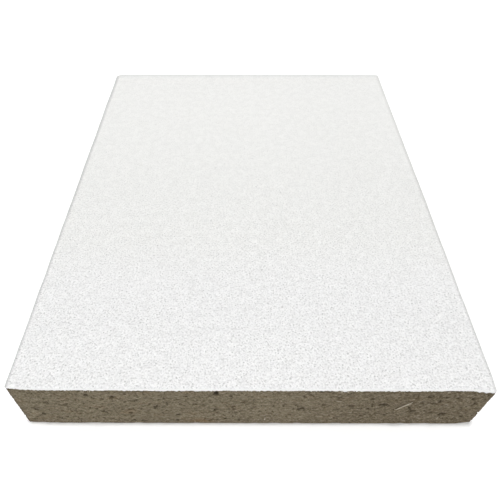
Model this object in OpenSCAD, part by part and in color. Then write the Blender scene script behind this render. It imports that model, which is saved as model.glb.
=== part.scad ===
// Suspended ceiling tile: a cut piece of mineral fibre board under a white painted facing.
// The tile lies on its back, visible face up. Millimetres, with the origin at the middle of the back.
// Width runs along X, length along Y with the front edge at -Y, and thickness along Z.

/* [Tile] */
// Width from side to side
tile_width = 96; // [60:1:240]
// Length from front to back
tile_length = 125; // [60:1:300]
// Thickness over all, facing included
tile_thickness = 16; // [10:0.5:25]
// Radius worn on the four upright corners
corner_radius = 0.8; // [0.6:0.1:3]
// Chamfer crumbled off the lower edge of the board
back_chamfer = 0.2; // [0.1:0.05:0.5]

/* [Facing] */
// Thickness of the painted facing
facing_thickness = 0.6; // [0.4:0.05:1.2]
// Radius rolled on the upper edge of the facing
facing_roll = 0.35; // [0.1:0.05:0.35]

/* [Pores in the cut edges] */
// Spacing of pores along an edge
pore_pitch = 5; // [3:0.5:10]
// Spacing of the rows of pores up an edge
pore_row_pitch = 3; // [2:0.5:6]
// Strip along the top and the bottom of an edge that has no scattered pores
pore_margin = 1.1; // [0.8:0.1:2]
// Length of the longest scattered slit
slit_length = 2.8; // [1.2:0.1:4]
// Width of the widest scattered slit, across the layers of felt
slit_width = 0.5; // [0.3:0.05:0.8]
// Depth of the deepest slit
slit_depth = 0.5; // [0.2:0.05:0.6]
// Largest lean of a slit away from the layers, in degrees
slit_lean = 14; // [0:1:40]
// Width of the widest scattered round pit
pit_width = 0.8; // [0.4:0.05:1.2]
// Share of the scattered pores that are round pits
pit_share = 0.3; // [0:0.05:1]
// Size of the pores scattered on the front edge, as a share of those on the other edges
front_scatter = 0.5; // [0.4:0.05:1]
// Number that picks one scatter of pores
pore_seed = 11; // [1:1:99]

/* [Hidden] */
$fn = 48;

felt_colour = "#7b715f";
paint_colour = "#f1f1ee";

board_height = tile_thickness - facing_thickness;
inner_width = tile_width - 2 * corner_radius;
inner_length = tile_length - 2 * corner_radius;

// The smallest scattered pore, as a share of the largest.
pore_least = 0.4;
// How far a pore strays from the middle of its cell, as a share of the cell.
pore_stray = 0.9;
// Random numbers that one pore draws: place along, place up, kind, length, width and lean.
pore_draws = 6;
// A pit's middle lies this share of its width proud of the cut face, so its wall leans in at the mouth.
pit_proud = 0.1;

// The slits that stand out on the front edge. Each has its place along the edge (-1 at the left end to 1 at
// the right), its height (0 at the back to 1 under the facing), its length, its width and its lean in degrees.
front_slits = [
    [-0.94, 0.45, 0.9, 0.45, -10],
    [-0.92, 0.30, 0.9, 0.45,   0],
    [-0.88, 0.94, 1.0, 0.35,   0],
    [-0.88, 0.66, 1.5, 0.35,   5],
    [-0.80, 0.59, 1.2, 0.35,   0],
    [-0.65, 0.40, 1.0, 0.35,   0],
    [-0.63, 0.76, 1.0, 0.40,   6],
    [-0.53, 0.90, 1.2, 0.35,   5],
    [-0.53, 0.35, 0.9, 0.45,   8],
    [-0.41, 0.54, 1.1, 0.50,   8],
    [-0.32, 0.30, 0.7, 0.45,  -8],
    [-0.27, 0.84, 1.0, 0.35,   5],
    [-0.15, 0.46, 0.9, 0.40,   0],
    [-0.14, 0.92, 1.4, 0.70,  90],
    [-0.11, 0.19, 0.9, 0.40,  -5],
    [-0.08, 0.85, 0.8, 0.40,   0],
    [-0.07, 0.47, 0.9, 0.35,   0],
    [-0.02, 0.71, 2.0, 0.25,   0],
    [ 0.22, 0.47, 1.4, 0.60,   2],
    [ 0.23, 0.84, 0.9, 0.45,  -8],
    [ 0.25, 0.89, 0.8, 0.35,  10],
    [ 0.32, 0.61, 0.9, 0.35,   0],
    [ 0.38, 0.81, 0.8, 0.45,   0],
    [ 0.38, 0.47, 1.2, 0.40,   4],
    [ 0.42, 0.90, 1.4, 0.30,   3],
    [ 0.44, 0.57, 1.4, 0.45,  -6],
    [ 0.52, 0.77, 1.0, 0.40,   0],
    [ 0.58, 0.61, 2.4, 0.45,   0],
    [ 0.70, 0.49, 2.1, 0.45, -68],
    [ 0.72, 0.43, 1.2, 0.45,  14],
    [ 0.74, 0.68, 1.0, 0.40,  -8],
    [ 0.76, 0.84, 1.0, 0.45,   8],
    [ 0.79, 0.64, 1.5, 0.35, -12],
    [ 0.86, 0.34, 1.7, 0.50,  24],
    [ 0.88, 0.80, 0.9, 0.40,   0],
    [ 0.95, 0.26, 0.9, 0.40, -40],
];
// The round pits that stand out there. Each has its place along the edge, its height and its width.
front_pits = [
    [-0.69, 0.86, 0.75],
    [-0.59, 0.80, 0.60],
    [-0.48, 0.73, 0.50],
    [-0.36, 0.63, 0.50],
    [ 0.12, 0.82, 0.50],
    [ 0.12, 0.14, 0.50],
    [ 0.43, 0.31, 0.50],
    [ 0.60, 0.30, 0.55],
    [ 0.79, 0.79, 0.55],
    [ 0.79, 0.46, 0.50],
    [ 0.81, 0.70, 0.70],
    [ 0.97, 0.65, 0.55],
];

// A slab with a rim of one section all round: the flat field, the rim along each side and the rim turned
// round each corner. The child is the section, from x = 0 at the field out to x = corner_radius.
module rimmed_slab(height) {
    linear_extrude(height) square([inner_width, inner_length], center = true);
    for (turn = [0, 180]) {
        rotate(turn) side_rim(inner_width, tile_length) children();
        rotate(turn + 90) side_rim(inner_length, tile_width) children();
    }
    for (corner = [0 : 3]) {
        x = corner == 0 || corner == 3 ? 1 : -1;
        y = corner < 2 ? 1 : -1;
        translate([x * inner_width / 2, y * inner_length / 2, 0])
            rotate(90 * corner)
                rotate_extrude(angle = 90) children();
    }
}

// The rim's section drawn out along the side that faces -Y.
module side_rim(run, across) {
    translate([run / 2, corner_radius - across / 2, 0])
        rotate([90, 0, -90])
            linear_extrude(run) children();
}

// Section of the board's rim: square above, crumbled to a chamfer below.
module board_rim() {
    polygon([
        [0, 0],
        [corner_radius - back_chamfer, 0],
        [corner_radius, back_chamfer],
        [corner_radius, board_height],
        [0, board_height],
    ]);
}

// Section of the facing's rim: square below, rolled over above.
module facing_rim() {
    roll_centre = [corner_radius - facing_roll, facing_thickness - facing_roll];
    square([roll_centre.x, facing_thickness]);
    square([corner_radius, roll_centre.y]);
    intersection() {
        translate(roll_centre) circle(facing_roll);
        translate(roll_centre) square(facing_roll);
    }
}

// A slit in the side that faces -Y: the edge of a thin disc, sunk in so that it runs out at both ends.
module edge_slit(across, along, up, length, width, lean) {
    depth = slit_depth * width / slit_width;
    reach = (pow(length / 2, 2) + pow(depth, 2)) / (2 * depth);
    translate([along, depth - reach - across / 2, up])
        rotate([0, -lean, 0])
            cylinder(r = reach, h = width, center = true);
}

// A round pit in the side that faces -Y.
module edge_pit(across, along, up, width) {
    translate([along, -(across / 2 + pit_proud * width), up]) sphere(d = width);
}

// Slits and pits scattered over one side in rows, each at random in its own cell.
module scattered_pores(run, across, seed, share = 1) {
    columns = floor(run / pore_pitch);
    rows = floor((board_height - 2 * pore_margin) / pore_row_pitch);
    draws = rands(0, 1, columns * rows * pore_draws, seed);
    for (column = [0 : columns - 1], row = [0 : rows - 1]) {
        first = (column * rows + row) * pore_draws;
        draw = [for (k = [0 : pore_draws - 1]) draws[first + k]];
        along = (column + 0.5 - columns / 2 + pore_stray * (draw[0] - 0.5)) * pore_pitch;
        up = board_height / 2 + (row + 0.5 - rows / 2 + pore_stray * (draw[1] - 0.5)) * pore_row_pitch;
        // Squared draws make most pores small and a few large.
        length = share * slit_length * (pore_least + (1 - pore_least) * pow(draw[3], 2));
        size = share * (pore_least + (1 - pore_least) * pow(draw[4], 2));
        if (draw[2] < pit_share)
            edge_pit(across, along, up, pit_width * size);
        else
            edge_slit(across, along, up, length, slit_width * size, slit_lean * (2 * draw[5] - 1));
    }
}

// The pores on all four cut edges.
module all_pores() {
    for (slit = front_slits)
        edge_slit(tile_length, slit[0] * inner_width / 2, slit[1] * board_height, slit[2], slit[3], slit[4]);
    for (pit = front_pits)
        edge_pit(tile_length, pit[0] * inner_width / 2, pit[1] * board_height, pit[2]);
    scattered_pores(inner_width, tile_length, pore_seed, front_scatter);
    rotate(180) scattered_pores(inner_width, tile_length, pore_seed + 180);
    for (turn = [90, 270])
        rotate(turn) scattered_pores(inner_length, tile_width, pore_seed + turn);
}

// The board of pressed mineral fibre, bare on its cut edges and its back.
module core_board() {
    color(felt_colour)
        difference() {
            rimmed_slab(board_height) board_rim();
            all_pores();
        }
}

// The white painted facing, bonded over the whole of the board's upper face.
module painted_facing() {
    color(paint_colour)
        translate([0, 0, board_height])
            rimmed_slab(facing_thickness) facing_rim();
}

core_board();
painted_facing();
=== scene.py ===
"""Looks of a suspended ceiling tile: a cut piece of mineral fibre board under a white painted facing."""
import math

import bpy
import numpy as np
from mathutils import Matrix, Vector, geometry, noise
from mathutils.bvhtree import BVHTree


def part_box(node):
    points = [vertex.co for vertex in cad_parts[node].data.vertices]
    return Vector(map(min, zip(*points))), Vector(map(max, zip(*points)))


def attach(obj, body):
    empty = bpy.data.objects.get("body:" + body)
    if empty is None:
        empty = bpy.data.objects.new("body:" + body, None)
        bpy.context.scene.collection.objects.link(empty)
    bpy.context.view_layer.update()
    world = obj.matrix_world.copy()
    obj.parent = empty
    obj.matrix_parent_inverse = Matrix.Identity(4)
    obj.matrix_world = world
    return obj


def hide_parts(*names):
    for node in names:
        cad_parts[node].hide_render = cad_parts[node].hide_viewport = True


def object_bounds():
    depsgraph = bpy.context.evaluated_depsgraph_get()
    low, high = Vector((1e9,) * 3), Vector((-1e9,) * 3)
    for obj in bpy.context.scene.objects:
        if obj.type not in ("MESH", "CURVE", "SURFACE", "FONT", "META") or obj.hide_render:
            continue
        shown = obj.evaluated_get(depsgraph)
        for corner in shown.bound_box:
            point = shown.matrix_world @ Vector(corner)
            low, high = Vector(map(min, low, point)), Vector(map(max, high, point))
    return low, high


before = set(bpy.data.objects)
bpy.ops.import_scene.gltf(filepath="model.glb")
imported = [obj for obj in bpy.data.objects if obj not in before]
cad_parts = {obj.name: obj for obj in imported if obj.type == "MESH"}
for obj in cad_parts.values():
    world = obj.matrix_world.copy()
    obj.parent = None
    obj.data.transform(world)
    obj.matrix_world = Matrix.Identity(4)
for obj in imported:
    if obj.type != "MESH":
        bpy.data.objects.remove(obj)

cad_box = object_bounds()

# Sizes are in millimetres, and MM turns them into Blender's metres.
MM = 0.001
BODY = "root"
SEED = 20

# The tile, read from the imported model
TILE_LOW, TILE_HIGH = (np.array(corner) / MM for corner in cad_box)
HALF_WIDTH = (TILE_HIGH[0] - TILE_LOW[0]) / 2
HALF_LENGTH = (TILE_HIGH[1] - TILE_LOW[1]) / 2
TILE_TOP = TILE_HIGH[2]
BOARD_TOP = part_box("core_board")[1].z / MM
# What lies before this line belongs to the front edge.
FRONT_LINE = 1 - HALF_LENGTH

# Radius worn on each upright corner of the facing and of the board, anticlockwise from the front right
FACING_CORNERS = {(1, -1): 0.5, (1, 1): 1.0, (-1, 1): 1.8, (-1, -1): 0.35}
BOARD_CORNERS = {(1, -1): 0.3, (1, 1): 1.0, (-1, 1): 1.6, (-1, -1): 0.35}
CORNER_STEPS = 6

# Wear of the two front corners: how far it reaches in from the front, along it and down from the top
WEAR_IN = 4
LEFT_WEAR = 4
RIGHT_WEAR = 3
RIGHT_FOOT_WEAR = 2.2
WEAR_DOWN = 6
# How far the front left corner is set back, drawn in at its foot and lifted at its top
LEFT_BACK = 0.35
LEFT_IN = 0.04
LEFT_UP = 0.12
# How far the front right corner is spread and pressed down at its top, bulges below and is worn at its foot
RIGHT_OUT = 0.12
RIGHT_DOWN = 0.5
RIGHT_BULGE = 0.36
RIGHT_FOOT_BACK = 0.32
# How far the two sides wander from straight, over what length and how far in, and a shift for the right one
SIDE_WANDER = 0.1
WANDER_LENGTH = 6.0
WANDER_IN = 3
WANDER_SHIFT = 9.7
# How far the front edge runs out of square, as a slope
FRONT_SKEW = 0.0015

# Mesh of the board: spacing along the front, along the other edges, up the edges and over the back
FRONT_SPACING = 0.16
SIDE_SPACING = 0.62
ROW_SPACING = 0.2
BACK_SPACING = 1.4
# How far its vertices stray from the grid, in spacings
EDGE_STRAY = 0.35
BACK_STRAY = 0.3
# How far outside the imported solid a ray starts, and how far from the foot and the top it stays
PROBE_REACH = 1.0
PROBE_FOOT = 0.25
PROBE_TOP = 0.02
# How far the grid over the back, and then its strayed points, stay from the rim
BACK_RIM = 1
BACK_RIM_CLEAR = 1.1
# The back's share of the felt's relief, the depth where that is cut off and the height it is read at
BACK_RELIEF = 0.5
BACK_DEEPEST = 0.2
BACK_READ_AT = 1

# Relief of the felt: mean depth, then the cells and depths of its clumps, fibres and hollows
FELT_DEPTH = 0.04
CLUMP_SIZE = (1.2, 1.2, 0.7)
CLUMP_DEPTH = 0.05
FIBRE_SIZE = (0.44, 0.44, 0.4)
FIBRE_DEPTH = 0.06
HOLLOW_SIZE = (0.7, 0.7, 0.6)
HOLLOW_DEPTH = 0.3
HOLLOW_LEVELS = (0.36, 0.6)
# Below this height the relief fades out, so that the foot lies flat.
FLAT_FOOT = 0.7
# Crumbling at the foot and the drag line under the facing: height, least depth and what loose felt adds
CRUMB_SIZE = (2.2, 2.2, 2.2)
CRUMBLE_HEIGHT = 0.6
CRUMBLE_DEPTHS = (0.145, 0.07)
CRUMBLE_LEVELS = (-0.1, 0.5)
DRAG_HEIGHT = 0.35
DRAG_DEPTHS = (0.1, 0.1)
DRAG_LEVELS = (-0.3, 0.4)
# The dark pits that stand out on the front edge, sunk in and darkened with painted shade: place along it,
# height and radius
DARK_PITS = (
    (-32.7, 13.2, 0.36), (-27.6, 12.4, 0.34), (-22.9, 11.1, 0.24), (-9.5, 9.0, 0.22), (-6.8, 14.0, 0.42),
    (-7.3, 6.6, 0.18), (-3.3, 8.6, 0.2), (10.9, 7.3, 0.42), (24.5, 7.4, 0.25), (27.4, 9.3, 0.38),
    (28.5, 4.5, 0.25), (33.6, 6.0, 0.22), (38.4, 10.7, 0.31), (40.1, 5.1, 0.28), (44.6, 12.1, 0.26),
    (45.7, 9.9, 0.3), (-24.8, 1.6, 0.26), (-22.9, 1.6, 0.25), (-15.5, 1.7, 0.28),
)
PIT_DEPTH = 0.5
PIT_STRETCH = 1.2

# How much painted shade darkens hollows, pores, the deepest pores and pits, and at which depths the first
# three darken
HOLLOW_DARK = 0.24
HOLLOW_DARK_AT = (0.14, 0.34)
PORE_DARK = 0.44
PORE_DARK_AT = (0.05, 0.4)
DEEP_DARK = 0.25
DEEP_DARK_AT = (0.52, 0.65)
PIT_DARK = 0.92
PIT_FADE = 0.7
# Shade on the front edge: how strong, from where to where along it and at which heights it fades
RIGHT_SHADE = 0.76
RIGHT_SHADE_RUN = (1, 33)
FOOT_SHADE = 0.36
FOOT_SHADE_HEIGHTS = (0.8, 3.6)
LEFT_FOOT_SHADE = 0.36
LEFT_FOOT_RUN = (-30, -12)
LEFT_FOOT_HEIGHTS = (0.3, 1.8)
PALE_FOOT = 0.7
PALE_FOOT_RUN = (-20, -5)
PALE_FOOT_HEIGHTS = (0.2, 0.9)
# Shade under the facing: how strong, and how far down it starts and is full
TOP_SHADE = 0.3
TOP_SHADE_START = 2.4
TOP_SHADE_FULL = 0.3
# Shade in the upper left corner, as its spread along the edge and down, and up the left end
LEFT_CORNER_SPREAD = (3, 0.9)
LEFT_END_SHADE = 0.7
LEFT_END_SPREAD = 0.5
# Dark places at the foot of the front edge: place along it, half its length and how dark
DARK_FEET = ((-28.5, 4.0, 0.9), (15.5, 2.4, 1.0))
DARK_FOOT_HEIGHTS = (0.6, 1.8)
# A brown stain near the foot of the front edge: place and half its length along it, and the same up it
FOOT_STAIN = (-10.6, 2.6)
FOOT_STAIN_UP = (1.6, 0.7)

# The painted facing: its rolled rim, the lines of its grid over the rim and the spacing of the others
FACING_ROLL = 0.35
RIM_LINES = (0.0, 0.03, 0.08, 0.15, 0.24, 0.35, 0.55)
RIM_GAP = 0.1
FACE_GRID = (0.27, 0.54)
# Relief of the face: the cells, heights and middle levels of its sand and of its swell, and where it starts
SAND_SIZE = (0.55, 0.55, 0.55)
SAND_HEIGHT = 0.03
SAND_MIDDLE = 0.4
SWELL_SIZE = (14.0, 14.0, 14.0)
SWELL_HEIGHT = 0.02
SWELL_MIDDLE = 0.5
RELIEF_START = (0.1, 0.6)
RIM_WIDTH = 0.3
# The lip: how far it stands proud and is tucked under, the waves and tears along it, its lift and its slope
LIP_PROUD = 0.02
LIP_TUCK = 0.2
WAVE_SIZE = (1.6, 1.6, 1.6)
WAVE_DROP = 0.08
TEAR_SIZE = (0.3, 0.3, 0.3)
TEAR_DROP = 0.36
LIP_LIFT = 0.01
LIP_SLOPE = 0.002
# Where the lip sags or is worn back: place along the front edge, spread and how far it hangs
LIP_SAGS = (
    (-45.5, 1.5, 0.1), (-16.5, 5.0, 0.16), (6.5, 1.5, -0.12), (14.5, 2.0, -0.12), (40.5, 3.5, -0.22),
)
# Frayed places along the front edge: place, spread and how far the torn facing hangs, below 0 for a nick
FRAYED_PLACES = ((-33.1, 0.6, -0.3), (-31.6, 0.5, -0.25), (38.9, 0.5, -0.4), (18.4, 0.8, 0.2))
# How much of a frayed place hangs, at a tear's middle and with each level of the tear
FRAYED_SHARE = (0.4, 1.5)

# Painted shade along the side and back edges of the paint: how strong, and how far in it starts to fade and
# ends
LEFT_EDGE_SHADE = 0.42
RIGHT_EDGE_SHADE = 0.3
BACK_EDGE_SHADE = 0.34
EDGE_SHADE_FADE = 0.35
SIDE_SHADE_END = 0.75
SIDE_SHADE_GROWTH = 0.7
BACK_SHADE_END = 0.75
# How much weaker the right edge's painted shade is at the back, and from where
RIGHT_EDGE_SHADE_LOSS = 0.35
RIGHT_EDGE_SHADE_TURN = -20
# A wider band of painted shade along the back, and the strip along the front that has none
BACK_BAND_SHADE = 0.09
BACK_BAND_REACH = (1.0, 3.0)
UNSHADED_FRONT = (-0.05, 0.15)
# Painted shade over the right of the face, which halves behind the front
RIGHT_FACE_SHADE = 0.03
RIGHT_FACE_SHADE_RUN = (0, 40)
RIGHT_FACE_SHADE_LOSS = 0.5
RIGHT_FACE_SHADE_TURN = (-55, -35)
# How the painted shade over the face changes from front to back: how much more, and from where to where
FACE_SHADE_STEPS = ((0.026, -60, -40), (0.038, -40, 0), (-0.016, 10, 50))
# Painted shade on the underside of the pressed corner: how far in from the right it starts and is full
BENT_START = 2.4
BENT_FULL = 1
# How much painted shade greys the side, the lip and the tuck there
BENT_SHADE = (0.3, 0.9, 0.9)
# How much of the painted grain is lost towards the back, and from where to where
GRAIN_LOSS = 0.68
GRAIN_LOSS_RUN = (-50, 30)

# One loose thread: its sides and points, how thin its ends are, how it swells and how deep it is tucked
THREAD_SIDES = 5
THREAD_POINTS = 9
THREAD_ENDS = 0.25
THREAD_SWELL = 0.6
THREAD_TUCK = 0.06
# Pale threads seen on the front edge: both ends along it and up, bow, how proud and the ends' thickness
SEEN_PALE = 1.0
SEEN_THREADS = (
    ((30.0, 7.0), (33.0, 10.7), 0.1, 0.34, (0.156, 0.286)),
    ((3.2, 2.4), (3.3, 3.2), 0.0, 0.3, (0.22, 0.22)),
)
# Threads at the frayed places: how many to a millimetre of spread, then how they hang
FRAY_COUNT = 6
FRAY_TOP = 0.1
FRAY_LEAN = 0.5
FRAY_HANG = (0.3, 0.9)
FRAY_BOW = 0.1
FRAY_PROUD = 0.25
FRAY_THICKNESS = (0.1, 0.18)
FRAY_PALE = 0.55
# Short threads on all four edges: how many to a millimetre of half an edge, then how they lie
SHORT_COUNT = 0.9
SHORT_END_GAP = 2
SHORT_RIM_GAP = 1
SHORT_LEAN = 0.45
SHORT_LENGTH = (0.8, 2.4)
SHORT_BOW = 0.15
SHORT_PROUD = 0.22
SHORT_THICKNESS = (0.06, 0.11)
SHORT_PALE = (0, 0.6)

# The studio, in metres: floor, surround, how strongly each glows near the tile and far off, sky and lights
FLOOR_SIZE = 6
FLOOR_DROP = 0.02 * MM
FLOOR_GLOW = (0.24, 0.46)
SURROUND_SIDES = 96
SURROUND_RADIUS = 2.8
SURROUND_HEIGHT = 1.2
SURROUND_MIDDLE = 0.59
SURROUND_GLOW = (0.75, 0.75)
GLOW_REACH = (0.5, 2.2)
SKY_LIGHT = 0.26
# Name, place, power and size of each light
LIGHTS = (
    ("key", (0, -0.042, 2.0), 20, 0.12),
    ("front_fill", (-0.3, -1.2, 0.5), 1.8, 0.5),
    ("back_fill", (0.3, 1.3, 0.9), 2, 0.5),
)
# The camera: place in millimetres, tilt down, turn and roll in degrees, lens, sensor, shift, nearest view
CAMERA_PLACE = (-1.49, -107.01, 103.76)
CAMERA_ANGLES = (47.12, -0.33, -0.11)
CAMERA_LENS = 35.12
CAMERA_SENSOR = 36
CAMERA_SHIFT = (0.018, -0.0006)
CAMERA_NEAR = 1

# How a loop is filled: with what lies inside it, and with points nearer than this taken as one
FILL_INSIDE = 1
FILL_MERGE = 1e-6

rng = np.random.default_rng(SEED)


# Tools for meshes
def noise_at(points, size, offset):
    """Smooth noise from about -1 to 1 at points in millimetres, with one cell as large as size."""
    cells = points / np.array(size) + offset
    return np.fromiter((noise.noise(cell) for cell in cells.tolist()), float, len(cells))


def smooth(low, high, values):
    """0 below low, 1 above high and a smooth ramp between them."""
    share = np.clip((values - low) / (high - low), 0, 1)
    return share * share * (3 - 2 * share)


def bell(values, place, spread):
    """1 at a place, falling smoothly to almost nothing two spreads away."""
    return np.exp(-(((values - place) / spread) ** 2))


def mesh_object(name, points, faces, finish):
    """A smooth-shaded mesh from points in millimetres."""
    mesh = bpy.data.meshes.new(name)
    mesh.from_pydata((points * MM).tolist(), [], faces)
    mesh.validate()
    mesh.shade_smooth()
    mesh.materials.append(finish)
    made = bpy.data.objects.new(name, mesh)
    bpy.context.scene.collection.objects.link(made)
    return made


def add_values(piece, name, values):
    """Stores one number per vertex for the piece's finish to read."""
    layer = piece.data.attributes.new(name, "FLOAT", "POINT")
    layer.data.foreach_set("value", values.astype(np.float32))


def fill_loop(loop, inner=()):
    """Triangles over a flat loop of points, through the inner points too, numbered loop first."""
    flat = [Vector(point[:2]) for point in [*loop, *inner]]
    count = len(loop)
    edges = [(i, (i + 1) % count) for i in range(count)]
    _, _, faces, origins, _, _ = geometry.delaunay_2d_cdt(flat, edges, [], FILL_INSIDE, FILL_MERGE)
    return [[origins[i][0] for i in face] for face in faces]


def band(lower, upper):
    """Faces of a closed band between two rings of vertex numbers."""
    count = len(lower)
    return [
        (int(lower[i]), int(lower[(i + 1) % count]), int(upper[(i + 1) % count]), int(upper[i]))
        for i in range(count)
    ]


# Outline and wear of the tile
def side_directions(turn):
    """Which way an edge faces and which way it runs, counted anticlockwise from the front."""
    facing = math.radians(90 * turn - 90)
    outward = np.array([math.cos(facing), math.sin(facing), 0])
    return outward, np.array([-outward[1], outward[0], 0])


def outline():
    """Points round the tile, the outward direction at each and whether it is on a straight side."""
    half = np.array([HALF_WIDTH, HALF_LENGTH])
    corners = list(BOARD_CORNERS)
    points = []
    directions = []
    straight = []
    for turn, end in enumerate(corners):
        start = corners[turn - 1]
        outward, along = (direction[:2] for direction in side_directions(turn))
        radius = BOARD_CORNERS[end]
        first = start * half + along * BOARD_CORNERS[start]
        last = end * half - along * radius
        spacing = FRONT_SPACING if turn == 0 else SIDE_SPACING
        count = round(np.linalg.norm(last - first) / spacing)
        for i in range(count):
            points.append(first + (last - first) * i / count)
            directions.append(outward)
            straight.append(True)
        centre = last - outward * radius
        for i in range(CORNER_STEPS):
            swing = math.radians(90) * i / CORNER_STEPS
            turned = outward * math.cos(swing) + along * math.sin(swing)
            points.append(centre + turned * radius)
            directions.append(turned)
            straight.append(False)
    return np.array(points), np.array(directions), np.array(straight)


def worn(points):
    """Moves points as wear has: the front left corner set back, the front right one pressed down."""
    x, y, z = points.T
    front = 1 - smooth(0, WEAR_IN, y + HALF_LENGTH)
    left = front * bell(x, -HALF_WIDTH, LEFT_WEAR)
    right = front * bell(x, HALF_WIDTH, RIGHT_WEAR)
    high = smooth(BOARD_TOP - WEAR_DOWN, BOARD_TOP, z)
    low = 1 - z / BOARD_TOP
    side = smooth(HALF_WIDTH - WANDER_IN, HALF_WIDTH, np.abs(x)) * np.sign(x)
    along = points * (0, 1, 0) + (x[:, None] > 0) * WANDER_SHIFT
    wander = noise_at(along, (WANDER_LENGTH,) * 3, (0.5, 0.2, 0.9))
    x = x + SIDE_WANDER * side * wander - LEFT_IN * left * low
    x = x + right * (RIGHT_OUT * high + RIGHT_BULGE * low * (1 - low))
    y = y + LEFT_BACK * left * (1 - low / 2) - RIGHT_OUT * right * high
    y = y + RIGHT_FOOT_BACK * front * bell(x, HALF_WIDTH, RIGHT_FOOT_WEAR) * low ** 3
    y = y + FRONT_SKEW * x * (HALF_LENGTH - y) / (2 * HALF_LENGTH)
    z = z + LEFT_UP * left * high - RIGHT_DOWN * right * high
    return np.stack([x, y, z], axis=1)


# Tools for finishes
class Socket:
    """A value in a finish. Operators on it add Math nodes."""

    def __init__(self, finish, socket):
        self.finish = finish
        self.socket = socket

    def __add__(self, other):
        return self.finish.math("ADD", self, other)

    def __radd__(self, other):
        return self.finish.math("ADD", other, self)

    def __sub__(self, other):
        return self.finish.math("SUBTRACT", self, other)

    def __rsub__(self, other):
        return self.finish.math("SUBTRACT", other, self)

    def __mul__(self, other):
        return self.finish.math("MULTIPLY", self, other)

    def __rmul__(self, other):
        return self.finish.math("MULTIPLY", other, self)

    def __abs__(self):
        return self.finish.math("ABSOLUTE", self)


class Finish:
    """A procedural material round one Principled shader."""

    def __init__(self, name):
        self.material = bpy.data.materials.new(name)
        self.material.use_nodes = True
        self.tree = self.material.node_tree
        self.tree.nodes.clear()

    def node(self, kind, settings=None, sockets=None, output=None):
        """Adds a node, sets it, feeds its sockets and gives the output of that name, or else its first."""
        made = self.tree.nodes.new("ShaderNode" + kind)
        for setting, value in (settings or {}).items():
            setattr(made, setting, value)
        for key, value in (sockets or {}).items():
            socket = made.inputs[key] if isinstance(key, int) else self.shown(made.inputs, key)
            if isinstance(value, Socket):
                self.tree.links.new(value.socket, socket)
            else:
                socket.default_value = value
        shown = [socket for socket in made.outputs if socket.enabled and output in (None, socket.name)]
        return Socket(self, shown[0]) if shown else None

    @staticmethod
    def shown(sockets, name):
        """The socket of that name that the node's settings leave in use."""
        return next(socket for socket in sockets if socket.name == name and socket.enabled)

    def math(self, operation, *values):
        """A Math node on one or two values."""
        return self.node("Math", {"operation": operation}, dict(enumerate(values)))

    def mix(self, share, low, high):
        """A colour from low, where the share is 0, to high, where it is 1."""
        return self.node("Mix", {"data_type": "RGBA"}, {"Factor": share, "A": low, "B": high})

    def coats(self, colour, *coats):
        """The colour under coats, each given as how much it covers, from 0 to 1, and its own colour."""
        for cover, coat in coats:
            colour = self.mix(cover, colour, coat)
        return colour

    def ramp(self, value, low, high):
        """0 where the value is on low's side, 1 on high's side and smooth between."""
        settings = {"interpolation_type": "SMOOTHSTEP"}
        return self.node("MapRange", settings, {"Value": value, "From Min": low, "From Max": high})

    def place(self):
        """The place on the object, in metres."""
        return self.node("TexCoord", output="Object")

    def stored(self, name):
        """A number that the mesh holds at each vertex."""
        return self.node("Attribute", {"attribute_name": name}, output="Fac")

    def cells(self, place, size):
        """The place counted in cells of that size in millimetres."""
        scale = tuple(1 / (side * MM) for side in size)
        return self.node("VectorMath", {"operation": "MULTIPLY"}, {0: place, 1: scale})

    def grain(self, place, size, detail=2.0, waver=0.0, roughness=0.5):
        """Noise round 0.5 in cells of that size, with finer noise in it, drawn out of line by waver."""
        sockets = {
            "Vector": self.cells(place, size), "Scale": 1.0,
            "Detail": detail, "Distortion": waver, "Roughness": roughness,
        }
        return self.node("TexNoise", {}, sockets)

    def spots(self, place, size):
        """How far a place is from the nearest of the spots that are scattered one to a cell, in cells."""
        sockets = {"Vector": self.cells(place, size), "Scale": 1.0}
        return self.node("TexVoronoi", {"feature": "F1"}, sockets)

    def bump(self, height, strength, distance):
        """The normal of a relief of that height, with its distance in millimetres."""
        return self.node("Bump", {}, {"Strength": strength, "Distance": distance * MM, "Height": height})

    def surface(self, **sockets):
        """Ends the finish with its shader. Underscores in the names stand for spaces."""
        named = {key.replace("_", " "): value for key, value in sockets.items()}
        shader = self.node("BsdfPrincipled", {}, named)
        self.node("OutputMaterial", {"target": "ALL"}, {"Surface": shader})
        return self.material


def srgb(red, green, blue):
    """A colour given as it shows on a screen, from 0 to 255, as linear light."""
    shares = (channel / 255 for channel in (red, green, blue))
    linear = (c / 12.92 if c <= 0.04045 else ((c + 0.055) / 1.055) ** 2.4 for c in shares)
    return (*linear, 1.0)


def grey(level):
    """A neutral colour in linear light."""
    return (level, level, level, 1.0)


# Colours of the paint
PAINT_FRONT = srgb(244.6, 244.4, 244.6)
PAINT_BACK = srgb(243.4, 243.4, 241)
PAINT_CLUMP = srgb(192, 192, 190)
# Painted highlight and painted shade on the sand's grains and creases, and painted shade in its hollows
SAND_LIT = srgb(253, 253, 252)
SAND_SHADED = srgb(186, 186, 185)
PAINT_HOLLOW_SHADE = srgb(160, 160, 159)
PINHOLE_GREY = srgb(150, 150, 149)
# Painted shade on the rolled rim, and along the edges and over the face
RIM_SHADE = srgb(226, 226, 225)
FACE_SHADE_GREY = srgb(150, 150, 150)

# Colours of the felt
FELT_DIM = srgb(112, 104, 84.6)
FELT_BRIGHT = srgb(118, 109, 89.6)
FELT_BROWN = srgb(117, 98, 75)
FELT_SHADE = srgb(94, 84, 66)
STAIN_BROWN = srgb(118, 90, 55)
LAYER_PALE = srgb(128, 118, 101)
# Pale fibres, and also the painted highlight on the streaks
FIBRE_PALE_AND_LIT = srgb(146, 136, 119)
FIBRE_DARK = srgb(76, 67, 52)
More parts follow.
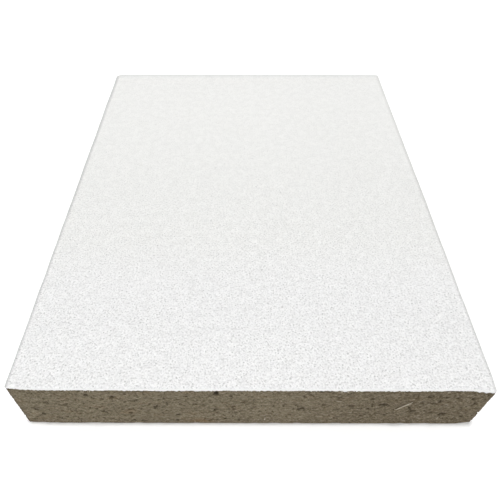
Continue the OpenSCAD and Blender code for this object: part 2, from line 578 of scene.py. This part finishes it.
# Painted shade under the streaks
STREAK_SHADE = srgb(66, 57, 42)
SEAM_DARK = srgb(62, 53, 39)
DASH_DARK = srgb(58, 50, 37)
# Painted shade in pores, hollows and pits
PORE_SHADOW = srgb(40, 33, 23)

# Colours of the threads
THREAD_FELT = srgb(124, 114, 96)
THREAD_DIM = srgb(158, 148, 131)
THREAD_PALE = srgb(188, 179, 164)

# Colour of the studio
STUDIO_WHITE = grey(0.9)


# Finishes
def painted_sand():
    """Matte white paint over fine sand with pinholes, its grain fainter over the rolled rim: painted
    highlight and shade on the sand, painted shade in its hollows and short creases, on the rim and along the
    edges.
    """
    finish = Finish("painted_sand")
    place = finish.place()
    rim = finish.stored("rim")
    face_shade = finish.stored("face_shade")
    fade = finish.stored("grain")
    mottle = finish.grain(place, (2, 2, 2), detail=1, roughness=0.8)
    sand = finish.grain(place, (0.4, 0.4, 0.4), detail=1)
    worms = finish.grain(place, (0.7, 0.7, 0.7), detail=1)
    grains = finish.spots(place, (0.76, 0.76, 0.76))
    crease = 1 - finish.ramp(abs(worms - 0.5), 0.0, 0.06)
    hollow = 1 - finish.ramp(grains, 0.06, 0.3)
    raised = finish.ramp(grains, 0.22, 0.38) * (1 - finish.ramp(grains, 0.42, 0.6))
    pinhole = 1 - finish.ramp(finish.spots(place, (4, 4, 4)), 0.03, 0.085)
    clear_of_rim = 1 - rim * 0.6
    field = clear_of_rim * fade
    colour = finish.coats(
        finish.mix(finish.ramp(fade, 0.78, 0.99), PAINT_BACK, PAINT_FRONT),
        (finish.ramp(mottle, 0.3, 0.7) * (0.1 + fade * 0.07), PAINT_CLUMP),
        # Painted highlight on the raised grains and the sand, painted shade on its low parts, creases and
        # hollows
        (raised * field * 0.55, SAND_LIT),
        (finish.ramp(sand, 0.5, 0.8) * field * 0.6, SAND_LIT),
        (finish.ramp(sand, 0.55, 0.25) * field * 0.55, SAND_SHADED),
        (crease * field * 0.26, SAND_SHADED),
        (hollow * field * 0.5, PAINT_HOLLOW_SHADE),
        (pinhole * field * 0.5, PINHOLE_GREY),
        # Painted shade on the rolled rim, along the edges and over the face
        (rim * 0.9, RIM_SHADE),
        (face_shade, FACE_SHADE_GREY),
    )
    height = (sand * 0.7 - hollow * 0.4 - crease * 0.3) * clear_of_rim
    normal = finish.bump(height, strength=0.5, distance=0.08)
    roughness = 0.9 - sand * 0.1
    return finish.surface(Base_Color=colour, Roughness=roughness, Normal=normal, Specular_IOR_Level=0.25)


def mineral_felt():
    """Bare pressed mineral fibre: grey-brown, with a fine grain, streaks along layers and dark pores, with
    painted highlight and painted shade on each streak and painted shade in the pores and on the front edge.
    """
    finish = Finish("mineral_felt")
    place = finish.place()
    pore_shade = finish.stored("pore_shade")
    shade = finish.stored("shade")
    stain = finish.stored("stain")
    tone = finish.grain(place, (22, 22, 9), detail=1)
    brown = finish.grain(place, (7, 7, 2.2), detail=2)
    layers = finish.grain(place, (3.0, 3.0, 0.8), detail=2, waver=0.4)
    grain = finish.grain(place, (0.34, 0.34, 0.3), detail=1)
    # Each streak gets a painted highlight on its upper lip and painted shade beneath it, from the streaks
    # less the streaks a little above
    above = finish.node("VectorMath", {"operation": "ADD"}, {0: place, 1: (0, 0, 0.8 * MM)})
    streak_size = (0.75, 0.75, 0.36)
    streaks = finish.grain(place, streak_size, detail=1, waver=0.5)
    lit = streaks - finish.grain(above, streak_size, detail=1, waver=0.5)
    seams = finish.grain(place, (2.3, 2.3, 0.75), detail=1, waver=0.4)
    seam = 1 - finish.ramp(abs(seams - 0.5), 0.0, 0.07)
    dash = 1 - finish.ramp(finish.spots(place, (1.0, 1.0, 0.8)), 0.1, 0.32)
    colour = finish.coats(
        finish.mix(finish.ramp(tone, 0.35, 0.65), FELT_DIM, FELT_BRIGHT),
        (finish.ramp(brown, 0.55, 0.7) * 0.5, FELT_BROWN),
        (shade, FELT_SHADE),
        (stain * 0.7, STAIN_BROWN),
        (finish.ramp(layers, 0.35, 0.65) * 0.2, LAYER_PALE),
        (finish.ramp(grain, 0.5, 0.8) * 0.8, FIBRE_PALE_AND_LIT),
        (finish.ramp(grain, 0.5, 0.22) * 0.75, FIBRE_DARK),
        (finish.ramp(lit, -0.06, -0.32) * 0.62, STREAK_SHADE),
        (finish.ramp(lit, 0.06, 0.32) * 0.5, FIBRE_PALE_AND_LIT),
        (seam * 0.4, SEAM_DARK),
        (dash * 0.25, DASH_DARK),
        (pore_shade, PORE_SHADOW),
    )
    normal = finish.bump(grain + streaks * 0.5, strength=0.6, distance=0.15)
    roughness = 0.97 - grain * 0.08
    return finish.surface(Base_Color=colour, Roughness=roughness, Normal=normal, Specular_IOR_Level=0.15)


def pale_thread():
    """The mineral threads that lie loose on the cut edges, some paler than the felt."""
    finish = Finish("pale_thread")
    pale = finish.stored("pale")
    shade = finish.grain(finish.place(), (0.8, 0.8, 0.8))
    colour = finish.mix(finish.ramp(shade, 0.3, 0.7), THREAD_DIM, THREAD_PALE)
    colour = finish.mix(pale, THREAD_FELT, colour)
    return finish.surface(Base_Color=colour, Roughness=0.85 - shade * 0.1, Specular_IOR_Level=0.2)


def studio_white(name, glow, far_glow):
    """Plain white with a little light of its own, more of it far off, to keep the background white."""
    finish = Finish(name)
    reach = finish.node("VectorMath", {"operation": "LENGTH"}, {0: finish.place()}, output="Value")
    light = finish.mix(finish.ramp(reach, *GLOW_REACH), grey(glow), grey(far_glow))
    return finish.surface(Base_Color=STUDIO_WHITE, Roughness=0.9, Specular_IOR_Level=0.1,
                          Emission_Color=light, Emission_Strength=1.0)


# The board
def felt_relief(points):
    """How far the bare felt lies inside its packed face, in millimetres, at points on the edges or back."""
    clumps = noise_at(points, CLUMP_SIZE, (3.1, 7.7, 1.3))
    fibres = noise_at(points, FIBRE_SIZE, (11.2, 0.4, 5.9))
    hollows = noise_at(points, HOLLOW_SIZE, (6.6, 2.5, 9.4))
    relief = CLUMP_DEPTH * clumps + FIBRE_DEPTH * fibres + HOLLOW_DEPTH * smooth(*HOLLOW_LEVELS, hollows)
    return FELT_DEPTH + relief * smooth(0, FLAT_FOOT, points[:, 2])


def edge_crumble(points):
    """How much deeper the felt lies at the foot, where it crumbles, and in a drag line under the facing."""
    height = points[:, 2]
    loose = noise_at(points, CRUMB_SIZE, (1.9, 5.2, 3.3))
    foot = CRUMBLE_DEPTHS[0] + CRUMBLE_DEPTHS[1] * smooth(*CRUMBLE_LEVELS, loose)
    drag = DRAG_DEPTHS[0] + DRAG_DEPTHS[1] * smooth(*DRAG_LEVELS, loose)
    return (1 - smooth(0, CRUMBLE_HEIGHT, height)) * foot + bell(height, BOARD_TOP, DRAG_HEIGHT) * drag


def pore_depths(starts, inward):
    """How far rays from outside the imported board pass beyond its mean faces, in millimetres."""
    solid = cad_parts["core_board"]
    tree = BVHTree.FromPolygons(
        [vertex.co / MM for vertex in solid.data.vertices],
        [tuple(polygon.vertices) for polygon in solid.data.polygons],
    )
    depths = np.zeros(len(starts))
    for i, (start, direction) in enumerate(zip(starts.tolist(), inward.tolist())):
        distance = tree.ray_cast(Vector(start), Vector(direction), 3 * PROBE_REACH)[3]
        depths[i] = 0 if distance is None else distance - PROBE_REACH
    return depths


def lips_too(depth, rows):
    """The depth at each vertex of the rings, with the lips above and below a hollow as deep as it is."""
    rings = depth.reshape(rows + 1, -1)
    above = np.concatenate([rings[1:], rings[-1:]])
    below = np.concatenate([rings[:1], rings[:-1]])
    return np.maximum.reduce([rings, above, below]).ravel()


def dark_pits(points):
    """How far inside a dark pit of the front edge a place lies: 1 in the middle of a pit and 0 outside."""
    x, y, z = points.T
    inside = np.zeros(len(points))
    for place, height, radius in DARK_PITS:
        inside = np.maximum(inside, bell(x, place, radius) * bell(z, height, PIT_STRETCH * radius))
    return inside * (y < FRONT_LINE)


def front_marks(points):
    """How stained and shaded the front edge is: darker to the right, at the foot and at the left end."""
    x, y, z = points.T
    corner = bell(x, -HALF_WIDTH, LEFT_CORNER_SPREAD[0]) * bell(z, BOARD_TOP, LEFT_CORNER_SPREAD[1])
    feet = [dark * bell(x, place, spread) for place, spread, dark in DARK_FEET]
    dark_foot = np.maximum.reduce(feet) * (1 - smooth(*DARK_FOOT_HEIGHTS, z))
    right = RIGHT_SHADE * smooth(*RIGHT_SHADE_RUN, x)
    low = FOOT_SHADE * (1 - smooth(*FOOT_SHADE_HEIGHTS, z))
    low_left = (1 - smooth(*LEFT_FOOT_HEIGHTS, z)) * (1 - smooth(*LEFT_FOOT_RUN, x))
    low = low + LEFT_FOOT_SHADE * low_left
    top = TOP_SHADE * smooth(BOARD_TOP - TOP_SHADE_START, BOARD_TOP - TOP_SHADE_FULL, z)
    pale = 1 - PALE_FOOT * (1 - smooth(*PALE_FOOT_HEIGHTS, z)) * smooth(*PALE_FOOT_RUN, x)
    end = LEFT_END_SHADE * bell(x, -HALF_WIDTH, LEFT_END_SPREAD)
    shade = np.maximum.reduce([(right + (low + top)) * pale, corner, dark_foot, end])
    stain = bell(x, *FOOT_STAIN) * bell(z, *FOOT_STAIN_UP)
    front = y < FRONT_LINE
    return stain * front, shade * front


def back_points():
    """Points over the back, inside its rim, with the low relief of felt that was pressed on a flat bed."""
    wide, long = HALF_WIDTH - BACK_RIM, HALF_LENGTH - BACK_RIM
    x, y = np.meshgrid(
        np.linspace(-wide, wide, round(2 * wide / BACK_SPACING)),
        np.linspace(-long, long, round(2 * long / BACK_SPACING)),
    )
    flat = np.column_stack([x.ravel(), y.ravel(), np.zeros(x.size)])
    flat[:, :2] += rng.uniform(-BACK_STRAY, BACK_STRAY, (len(flat), 2)) * BACK_SPACING
    clear = np.array([HALF_WIDTH, HALF_LENGTH]) - BACK_RIM_CLEAR
    flat = flat[(np.abs(flat[:, :2]) < clear).all(axis=1)]
    flat[:, 2] = BACK_RELIEF * np.clip(felt_relief(flat + (0, 0, BACK_READ_AT)), 0, BACK_DEEPEST)
    return flat


def core_board(finish):
    """The board as one closed mesh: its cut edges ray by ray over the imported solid's, and its two faces."""
    points, outward, straight = outline()
    count = len(points)
    rows = round(BOARD_TOP / ROW_SPACING)
    ring = np.empty((rows + 1, count, 3))
    ring[..., :2] = points
    ring[..., 2] = np.linspace(0, BOARD_TOP, rows + 1)[:, None]
    stray = rng.uniform(-EDGE_STRAY, EDGE_STRAY, (rows - 1, count, 2))
    along = np.stack([-outward[:, 1], outward[:, 0]], axis=1) * straight[:, None]
    ring[1:-1, :, :2] += along * stray[..., :1] * FRONT_SPACING
    ring[1:-1, :, 2] += stray[..., 1] * ROW_SPACING
    ring = ring.reshape(-1, 3)
    inward = np.tile(np.column_stack([-outward, np.zeros(count)]), (rows + 1, 1))
    starts = ring - inward * PROBE_REACH
    starts[:, 2] = np.clip(starts[:, 2], PROBE_FOOT, BOARD_TOP - PROBE_TOP)
    sunk = pore_depths(starts, inward) * np.tile(straight, rows + 1)
    relief = felt_relief(ring) + edge_crumble(ring)
    pitted = dark_pits(ring)
    ring = ring + inward * (sunk + relief + PIT_DEPTH * pitted)[:, None]
    faces = []
    for row in range(rows):
        lower = np.arange(count) + row * count
        faces += band(lower, lower + count)
    top = np.arange(count) + rows * count
    faces += [[int(top[i]) for i in face] for face in fill_loop(ring[top])]
    inner = back_points()
    numbers = np.concatenate([np.arange(count), np.arange(len(inner)) + len(ring)])
    faces += [[int(numbers[i]) for i in reversed(face)] for face in fill_loop(ring[:count], inner)]
    # Painted shade in the hollows and pores, darkest in the deepest pores and the dark pits
    pores = lips_too(sunk, rows)
    hollow_shade = HOLLOW_DARK * smooth(*HOLLOW_DARK_AT, lips_too(relief, rows))
    pore_shade = np.maximum(hollow_shade, PORE_DARK * smooth(*PORE_DARK_AT, pores))
    pore_shade += DEEP_DARK * smooth(*DEEP_DARK_AT, pores)
    pore_shade = np.maximum(pore_shade, PIT_DARK * pitted ** PIT_FADE)
    stain, shade = front_marks(ring)
    board = mesh_object("fibre_board", worn(np.concatenate([ring, inner])), faces, finish)
    for name, values in (("pore_shade", pore_shade), ("shade", shade), ("stain", stain)):
        add_values(board, name, np.concatenate([values, np.zeros(len(inner))]))
    return board


# The facing
def grid_lines(half, spacing):
    """Places of the grid's lines across the face: close together over the rolled rim, then even."""
    rim = half - np.array(RIM_LINES)
    reach = half - 2 * FACING_ROLL - RIM_GAP
    count = round(2 * reach / spacing)
    return np.concatenate([-rim, np.linspace(-reach, reach, count + 1), rim[::-1]])


def round_corners(x, y):
    """A grid drawn in at its worn corners: places, how far in each is and the radius of its corner."""
    radius = np.zeros(len(x))
    for (side, end), corner_radius in FACING_CORNERS.items():
        radius[(np.where(x < 0, -1, 1) == side) & (np.where(y < 0, -1, 1) == end)] = corner_radius
    a = np.clip((np.abs(x) - HALF_WIDTH + radius) / radius, 0, 1)
    b = np.clip((np.abs(y) - HALF_LENGTH + radius) / radius, 0, 1)
    round_a = a * np.sqrt(1 - b * b / 2)
    round_b = b * np.sqrt(1 - a * a / 2)
    x = np.where(a > 0, np.sign(x) * (HALF_WIDTH - radius + radius * round_a), x)
    y = np.where(b > 0, np.sign(y) * (HALF_LENGTH - radius + radius * round_b), y)
    field = np.minimum(HALF_WIDTH - np.abs(x), HALF_LENGTH - np.abs(y))
    inset = np.where((a > 0) | (b > 0), radius * (1 - np.hypot(round_a, round_b)), field)
    return x, y, inset, radius


def rim_numbers(wide, long):
    """Numbers of the grid's outer points, anticlockwise from the front left."""
    front = list(range(wide - 1))
    right = [j * wide + wide - 1 for j in range(long - 1)]
    back = [(long - 1) * wide + i for i in range(wide - 1, 0, -1)]
    left = [j * wide for j in range(long - 1, 0, -1)]
    return np.array(front + right + back + left)


def fray(points):
    """How far the torn lower edge of the facing hangs over the board, in millimetres."""
    x, y, _ = points.T
    flat = points * (1, 1, 0)
    waves = noise_at(flat, WAVE_SIZE, (2.7, 6.1, 0.4))
    tears = noise_at(flat, TEAR_SIZE, (8.3, 1.7, 0.9))
    drop = WAVE_DROP * waves + TEAR_DROP * tears + LIP_SLOPE * x - LIP_LIFT
    front = y < FRONT_LINE
    for place, spread, hang in LIP_SAGS:
        drop = drop + hang * front * bell(x, place, spread)
    torn = np.clip(FRAYED_SHARE[0] + FRAYED_SHARE[1] * tears, 0, 1)
    for place, spread, hang in FRAYED_PLACES:
        drop = drop + hang * front * bell(x, place, spread) * torn
    return drop


def shade_over_face(x, y):
    """How much painted shade greys the paint: along its side and back edges, and a little over the right and
    middle of the face.
    """
    side_end = SIDE_SHADE_END + SIDE_SHADE_GROWTH * smooth(-HALF_LENGTH, HALF_LENGTH, y)
    right = RIGHT_EDGE_SHADE * (1 - RIGHT_EDGE_SHADE_LOSS * smooth(RIGHT_EDGE_SHADE_TURN, HALF_LENGTH, y))
    at_side = np.where(x < 0, LEFT_EDGE_SHADE, right)
    at_side = at_side * (1 - smooth(EDGE_SHADE_FADE, side_end, HALF_WIDTH - np.abs(x)))
    from_back = HALF_LENGTH - y
    at_back = BACK_EDGE_SHADE * (1 - smooth(EDGE_SHADE_FADE, BACK_SHADE_END, from_back))
    at_back = np.maximum(at_back, BACK_BAND_SHADE * (1 - smooth(*BACK_BAND_REACH, from_back)))
    face_shade = np.maximum(at_side, at_back) * smooth(*UNSHADED_FRONT, y + HALF_LENGTH)
    right_side_shade = RIGHT_FACE_SHADE * smooth(*RIGHT_FACE_SHADE_RUN, x)
    face_shade = face_shade + right_side_shade * (1 - RIGHT_FACE_SHADE_LOSS * smooth(*RIGHT_FACE_SHADE_TURN, y))
    for more, start, end in FACE_SHADE_STEPS:
        face_shade = face_shade + more * smooth(start, end, y)
    return face_shade


def painted_facing(finish):
    """The facing as one closed mesh: sandy face, rim rolled over, torn lip and underside."""
    xs = grid_lines(HALF_WIDTH, FACE_GRID[0])
    ys = grid_lines(HALF_LENGTH, FACE_GRID[1])
    x, y, inset, radius = round_corners(*(lines.ravel() for lines in np.meshgrid(xs, ys)))
    past_roll = np.maximum(0, FACING_ROLL - inset)
    drop = FACING_ROLL - np.sqrt(np.maximum(0, FACING_ROLL ** 2 - past_roll ** 2))
    face = np.column_stack([x, y, TILE_TOP - drop])
    flat = face * (1, 1, 0)
    sand = noise_at(flat, SAND_SIZE, (0.3, 0.6, 0.2)) - SAND_MIDDLE
    swell = noise_at(flat, SWELL_SIZE, (4.2, 8.1, 0.7)) - SWELL_MIDDLE
    face[:, 2] += smooth(*RELIEF_START, inset) * (SAND_HEIGHT * sand + SWELL_HEIGHT * swell)
    wide, long = len(xs), len(ys)
    faces = [
        (j * wide + i, j * wide + i + 1, (j + 1) * wide + i + 1, (j + 1) * wide + i)
        for j in range(long - 1) for i in range(wide - 1)
    ]
    rim = rim_numbers(wide, long)
    count = len(rim)
    core = np.column_stack([HALF_WIDTH - radius, HALF_LENGTH - radius])[rim]
    outward = face[rim, :2] - np.clip(face[rim, :2], -core, core)
    outward = np.column_stack([outward / np.linalg.norm(outward, axis=1)[:, None], np.zeros(count)])
    edge = flat[rim]
    side = edge + (0, 0, (TILE_TOP - FACING_ROLL + BOARD_TOP) / 2)
    lip_height = np.column_stack([np.zeros((count, 2)), BOARD_TOP - fray(face[rim])])
    lip = edge + outward * LIP_PROUD + lip_height
    tuck = edge - outward * LIP_TUCK + (0, 0, BOARD_TOP)
    lower_rings = (side, lip, tuck)
    rings = [rim] + [np.arange(count) + len(face) + k * count for k in range(len(lower_rings))]
    for upper, lower in zip(rings, rings[1:]):
        faces += band(lower, upper)
    faces += [[int(rings[-1][i]) for i in reversed(f)] for f in fill_loop(tuck)]
    made = mesh_object("painted_face", worn(np.concatenate([face, *lower_rings])), faces, finish)
    rolled = 1 - smooth(0.0, RIM_WIDTH, inset)
    add_values(made, "rim", np.concatenate([rolled, np.ones(len(lower_rings) * count)]))
    # Painted shade along the edges and over the face, heavier under the pressed right front corner
    face_shade = shade_over_face(x, y)
    bent = smooth(HALF_WIDTH - BENT_START, HALF_WIDTH - BENT_FULL, x[rim]) * (y[rim] < FRONT_LINE)
    below = [np.maximum(face_shade[rim], share * bent) for share in BENT_SHADE]
    add_values(made, "face_shade", np.concatenate([face_shade, *below]))
    grain = 1 - GRAIN_LOSS * smooth(*GRAIN_LOSS_RUN, y)
    add_values(made, "grain", np.concatenate([grain, *[grain[rim]] * len(lower_rings)]))
    return made


# Loose threads
def thread(path, outward, thickness):
    """Points and faces of one closed thread along a path, thin at both ends."""
    steps = np.linspace(0, 1, len(path))
    swell = np.sin(math.pi * steps) ** THREAD_SWELL
    radii = thickness / 2 * (THREAD_ENDS + (1 - THREAD_ENDS) * swell)
    ahead = np.gradient(path, axis=0)
    across = np.cross(ahead, outward)
    across /= np.linalg.norm(across, axis=1)[:, None]
    up = np.cross(across, ahead)
    up /= np.linalg.norm(up, axis=1)[:, None]
    angles = np.arange(THREAD_SIDES) * 2 * math.pi / THREAD_SIDES
    turn = across[:, None] * np.cos(angles)[:, None] + up[:, None] * np.sin(angles)[:, None]
    points = (path[:, None] + turn * radii[:, None, None]).reshape(-1, 3)
    faces = []
    for k in range(len(path) - 1):
        near = np.arange(THREAD_SIDES) + k * THREAD_SIDES
        faces += band(near + THREAD_SIDES, near)
    faces.append(tuple(range(THREAD_SIDES)))
    last = (len(path) - 1) * THREAD_SIDES
    faces.append(tuple(range(last + THREAD_SIDES - 1, last - 1, -1)))
    return points, faces


def lying_path(wall, start, end, bow, proud):
    """A path over a cut edge from start to end, given along the edge and up, that dips in at both ends."""
    middle, along, outward = wall
    t = np.linspace(0, 1, THREAD_POINTS)
    start, end = np.array(start), np.array(end)
    flat = start + (end - start) * t[:, None]
    sideways = np.array([start[1] - end[1], end[0] - start[0]])
    flat = flat + sideways * bow * np.sin(math.pi * t)[:, None]
    lift = proud * np.sqrt(np.sin(math.pi * t)) - FELT_DEPTH - THREAD_TUCK
    return middle + along * flat[:, :1] + np.array([0, 0, 1]) * flat[:, 1:] + outward * lift[:, None]


def loose_threads(finish):
    """Mineral threads pulled loose by the knife: a long one at the right of the front, many short ones."""
    walls = []
    for turn in range(4):
        outward, along = side_directions(turn)
        run, reach = (HALF_WIDTH, HALF_LENGTH) if turn % 2 == 0 else (HALF_LENGTH, HALF_WIDTH)
        walls.append(((outward * reach, along, outward), run))
    front = walls[0][0]
    made = []
    for start, end, bow, proud, thickness in SEEN_THREADS:
        path = lying_path(front, start, end, bow, proud)
        made.append((path, front[2], np.linspace(*thickness, THREAD_POINTS), SEEN_PALE))
    for place, spread, _ in FRAYED_PLACES:
        for _ in range(round(FRAY_COUNT * spread)):
            top = (place + rng.uniform(-spread, spread), BOARD_TOP + FRAY_TOP)
            tip = (top[0] + rng.uniform(-FRAY_LEAN, FRAY_LEAN), BOARD_TOP - rng.uniform(*FRAY_HANG))
            path = lying_path(front, top, tip, FRAY_BOW, FRAY_PROUD)
            made.append((path, front[2], rng.uniform(*FRAY_THICKNESS), FRAY_PALE))
    for wall, run in walls:
        for _ in range(round(run * SHORT_COUNT)):
            along = rng.uniform(SHORT_END_GAP - run, run - SHORT_END_GAP)
            place = np.array([along, rng.uniform(SHORT_RIM_GAP, BOARD_TOP - SHORT_RIM_GAP)])
            angle = rng.normal(0, SHORT_LEAN)
            length = rng.uniform(*SHORT_LENGTH)
            step = length * np.array([math.cos(angle), math.sin(angle)])
            bow = rng.uniform(-SHORT_BOW, SHORT_BOW)
            path = lying_path(wall, place - step / 2, place + step / 2, bow, SHORT_PROUD)
            made.append((path, wall[2], rng.uniform(*SHORT_THICKNESS), rng.uniform(*SHORT_PALE)))
    points = []
    faces = []
    paleness = []
    for path, outward, thickness, pale in made:
        thread_points, thread_faces = thread(path, outward, thickness)
        first = len(paleness)
        points.append(thread_points)
        faces += [tuple(i + first for i in face) for face in thread_faces]
        paleness += [pale] * len(thread_points)
    threads = mesh_object("loose_threads", worn(np.concatenate(points)), faces, finish)
    add_values(threads, "pale", np.array(paleness))
    return threads


# Studio
def area_light(name, place, power, size):
    """A square soft light aimed at the middle of the tile."""
    light = bpy.data.lights.new(name, "AREA")
    light.energy = power
    light.size = size
    lamp = bpy.data.objects.new(name, light)
    lamp.location = place
    lamp.rotation_euler = (-lamp.location).to_track_quat("-Z", "Y").to_euler()
    bpy.context.scene.collection.objects.link(lamp)


def studio():
    """A pale floor in a low white surround, a key overhead and soft fills from the front and the back."""
    bpy.ops.mesh.primitive_plane_add(size=FLOOR_SIZE, location=(0, 0, -FLOOR_DROP))
    floor = bpy.context.object
    floor.name = "floor"
    floor.data.materials.append(studio_white("pale_floor", *FLOOR_GLOW))
    bpy.ops.mesh.primitive_cylinder_add(
        vertices=SURROUND_SIDES, radius=SURROUND_RADIUS, depth=SURROUND_HEIGHT,
        end_fill_type="NOTHING", location=(0, 0, SURROUND_MIDDLE),
    )
    wall = bpy.context.object
    wall.name = "surround"
    wall.data.materials.append(studio_white("pale_surround", *SURROUND_GLOW))
    world = bpy.data.worlds.new("sky")
    world.use_nodes = True
    sky = world.node_tree.nodes["Background"]
    sky.inputs["Color"].default_value = grey(1.0)
    sky.inputs["Strength"].default_value = SKY_LIGHT
    bpy.context.scene.world = world
    for light in LIGHTS:
        area_light(*light)


def camera():
    """The photograph's viewpoint: low over the front edge, looking down the face."""
    pitch, yaw, roll = (math.radians(angle) for angle in CAMERA_ANGLES)
    forward = Vector((math.sin(yaw) * math.cos(pitch), math.cos(yaw) * math.cos(pitch), -math.sin(pitch)))
    right = Vector((math.cos(yaw), -math.sin(yaw), 0))
    up = right.cross(forward)
    turned = math.cos(roll) * right + math.sin(roll) * up
    up = math.cos(roll) * up - math.sin(roll) * right
    data = bpy.data.cameras.new("photo_view")
    data.lens = CAMERA_LENS
    data.sensor_width = CAMERA_SENSOR
    data.shift_x, data.shift_y = CAMERA_SHIFT
    data.clip_start = CAMERA_NEAR * MM
    made = bpy.data.objects.new("photo_view", data)
    made.matrix_world = Matrix((turned, up, -forward)).transposed().to_4x4()
    made.location = Vector(CAMERA_PLACE) * MM
    bpy.context.scene.collection.objects.link(made)
    bpy.context.scene.camera = made


bpy.context.scene.view_settings.view_transform = "Standard"
camera()
studio()

board = core_board(mineral_felt())
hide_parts("core_board")
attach(board, BODY)

facing = painted_facing(painted_sand())
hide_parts("painted_facing")
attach(facing, BODY)

threads = loose_threads(pale_thread())
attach(threads, BODY)
